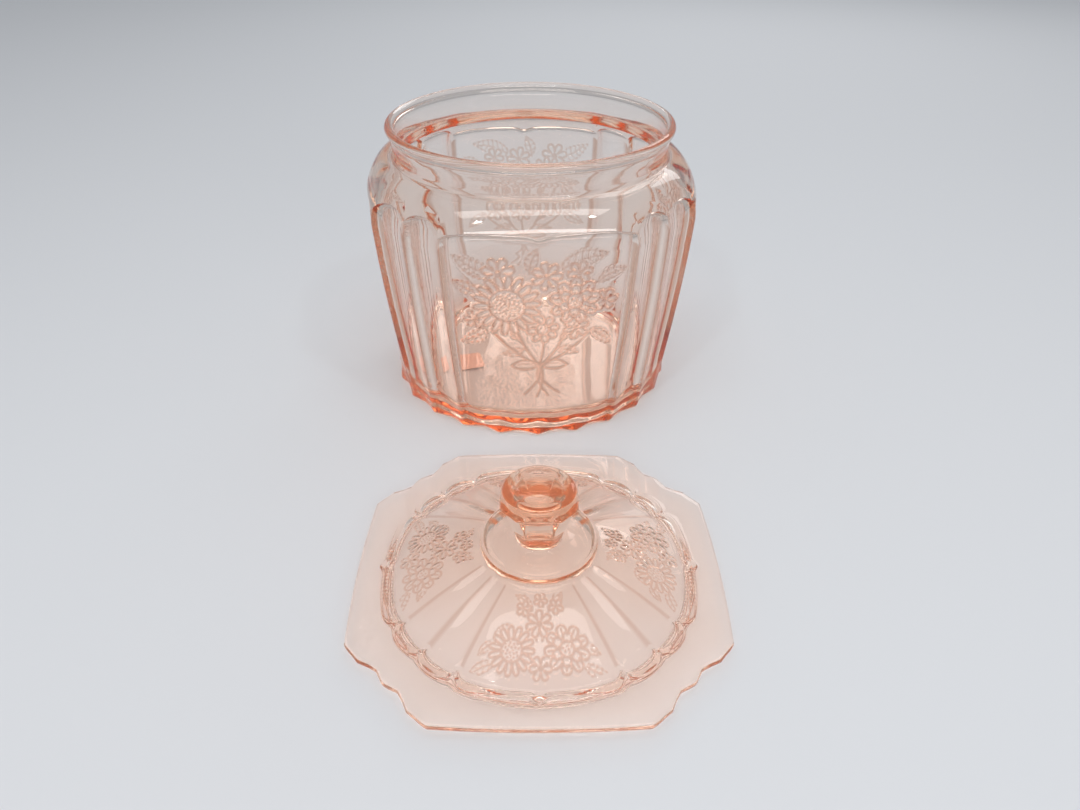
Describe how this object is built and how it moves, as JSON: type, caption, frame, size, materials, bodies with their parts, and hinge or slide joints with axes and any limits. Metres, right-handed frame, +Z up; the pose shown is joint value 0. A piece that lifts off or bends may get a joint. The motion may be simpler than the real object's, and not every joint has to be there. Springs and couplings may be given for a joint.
{
  "type": "covered glass jar",
  "caption": "Pressed glass jar with a fluted octagonal body, a round neck and a loose octagonal lid with a faceted knob; the lid lies beside it.",
  "frame": {"origin": "on the table, at the centre of the footprint of the jar and the lid together; the jar's axis is at x = 0, y = +0.0951", "axes": "+Z up, +Y from the lid towards the jar; the jar's panels face +X, -X, +Y and -Y"},
  "size_m": [0.1894, 0.3795, 0.16],
  "materials": {
    "jar_glass": "fire-polished pale pink pressed glass",
    "lid_glass": "fire-polished pale pink pressed glass",
    "paper": "matt blank paper label"
  },
  "bodies": {
    "jar": {"jar": "jar_glass", "price_label": "paper"},
    "lid": {"lid": "lid_glass"}
  },
  "joints": [
    {"name": "lid_lift", "type": "slide", "parent": "jar", "child": "lid", "axis": [0, 0, 1], "range_m": [0, 0.18]}
  ]
}
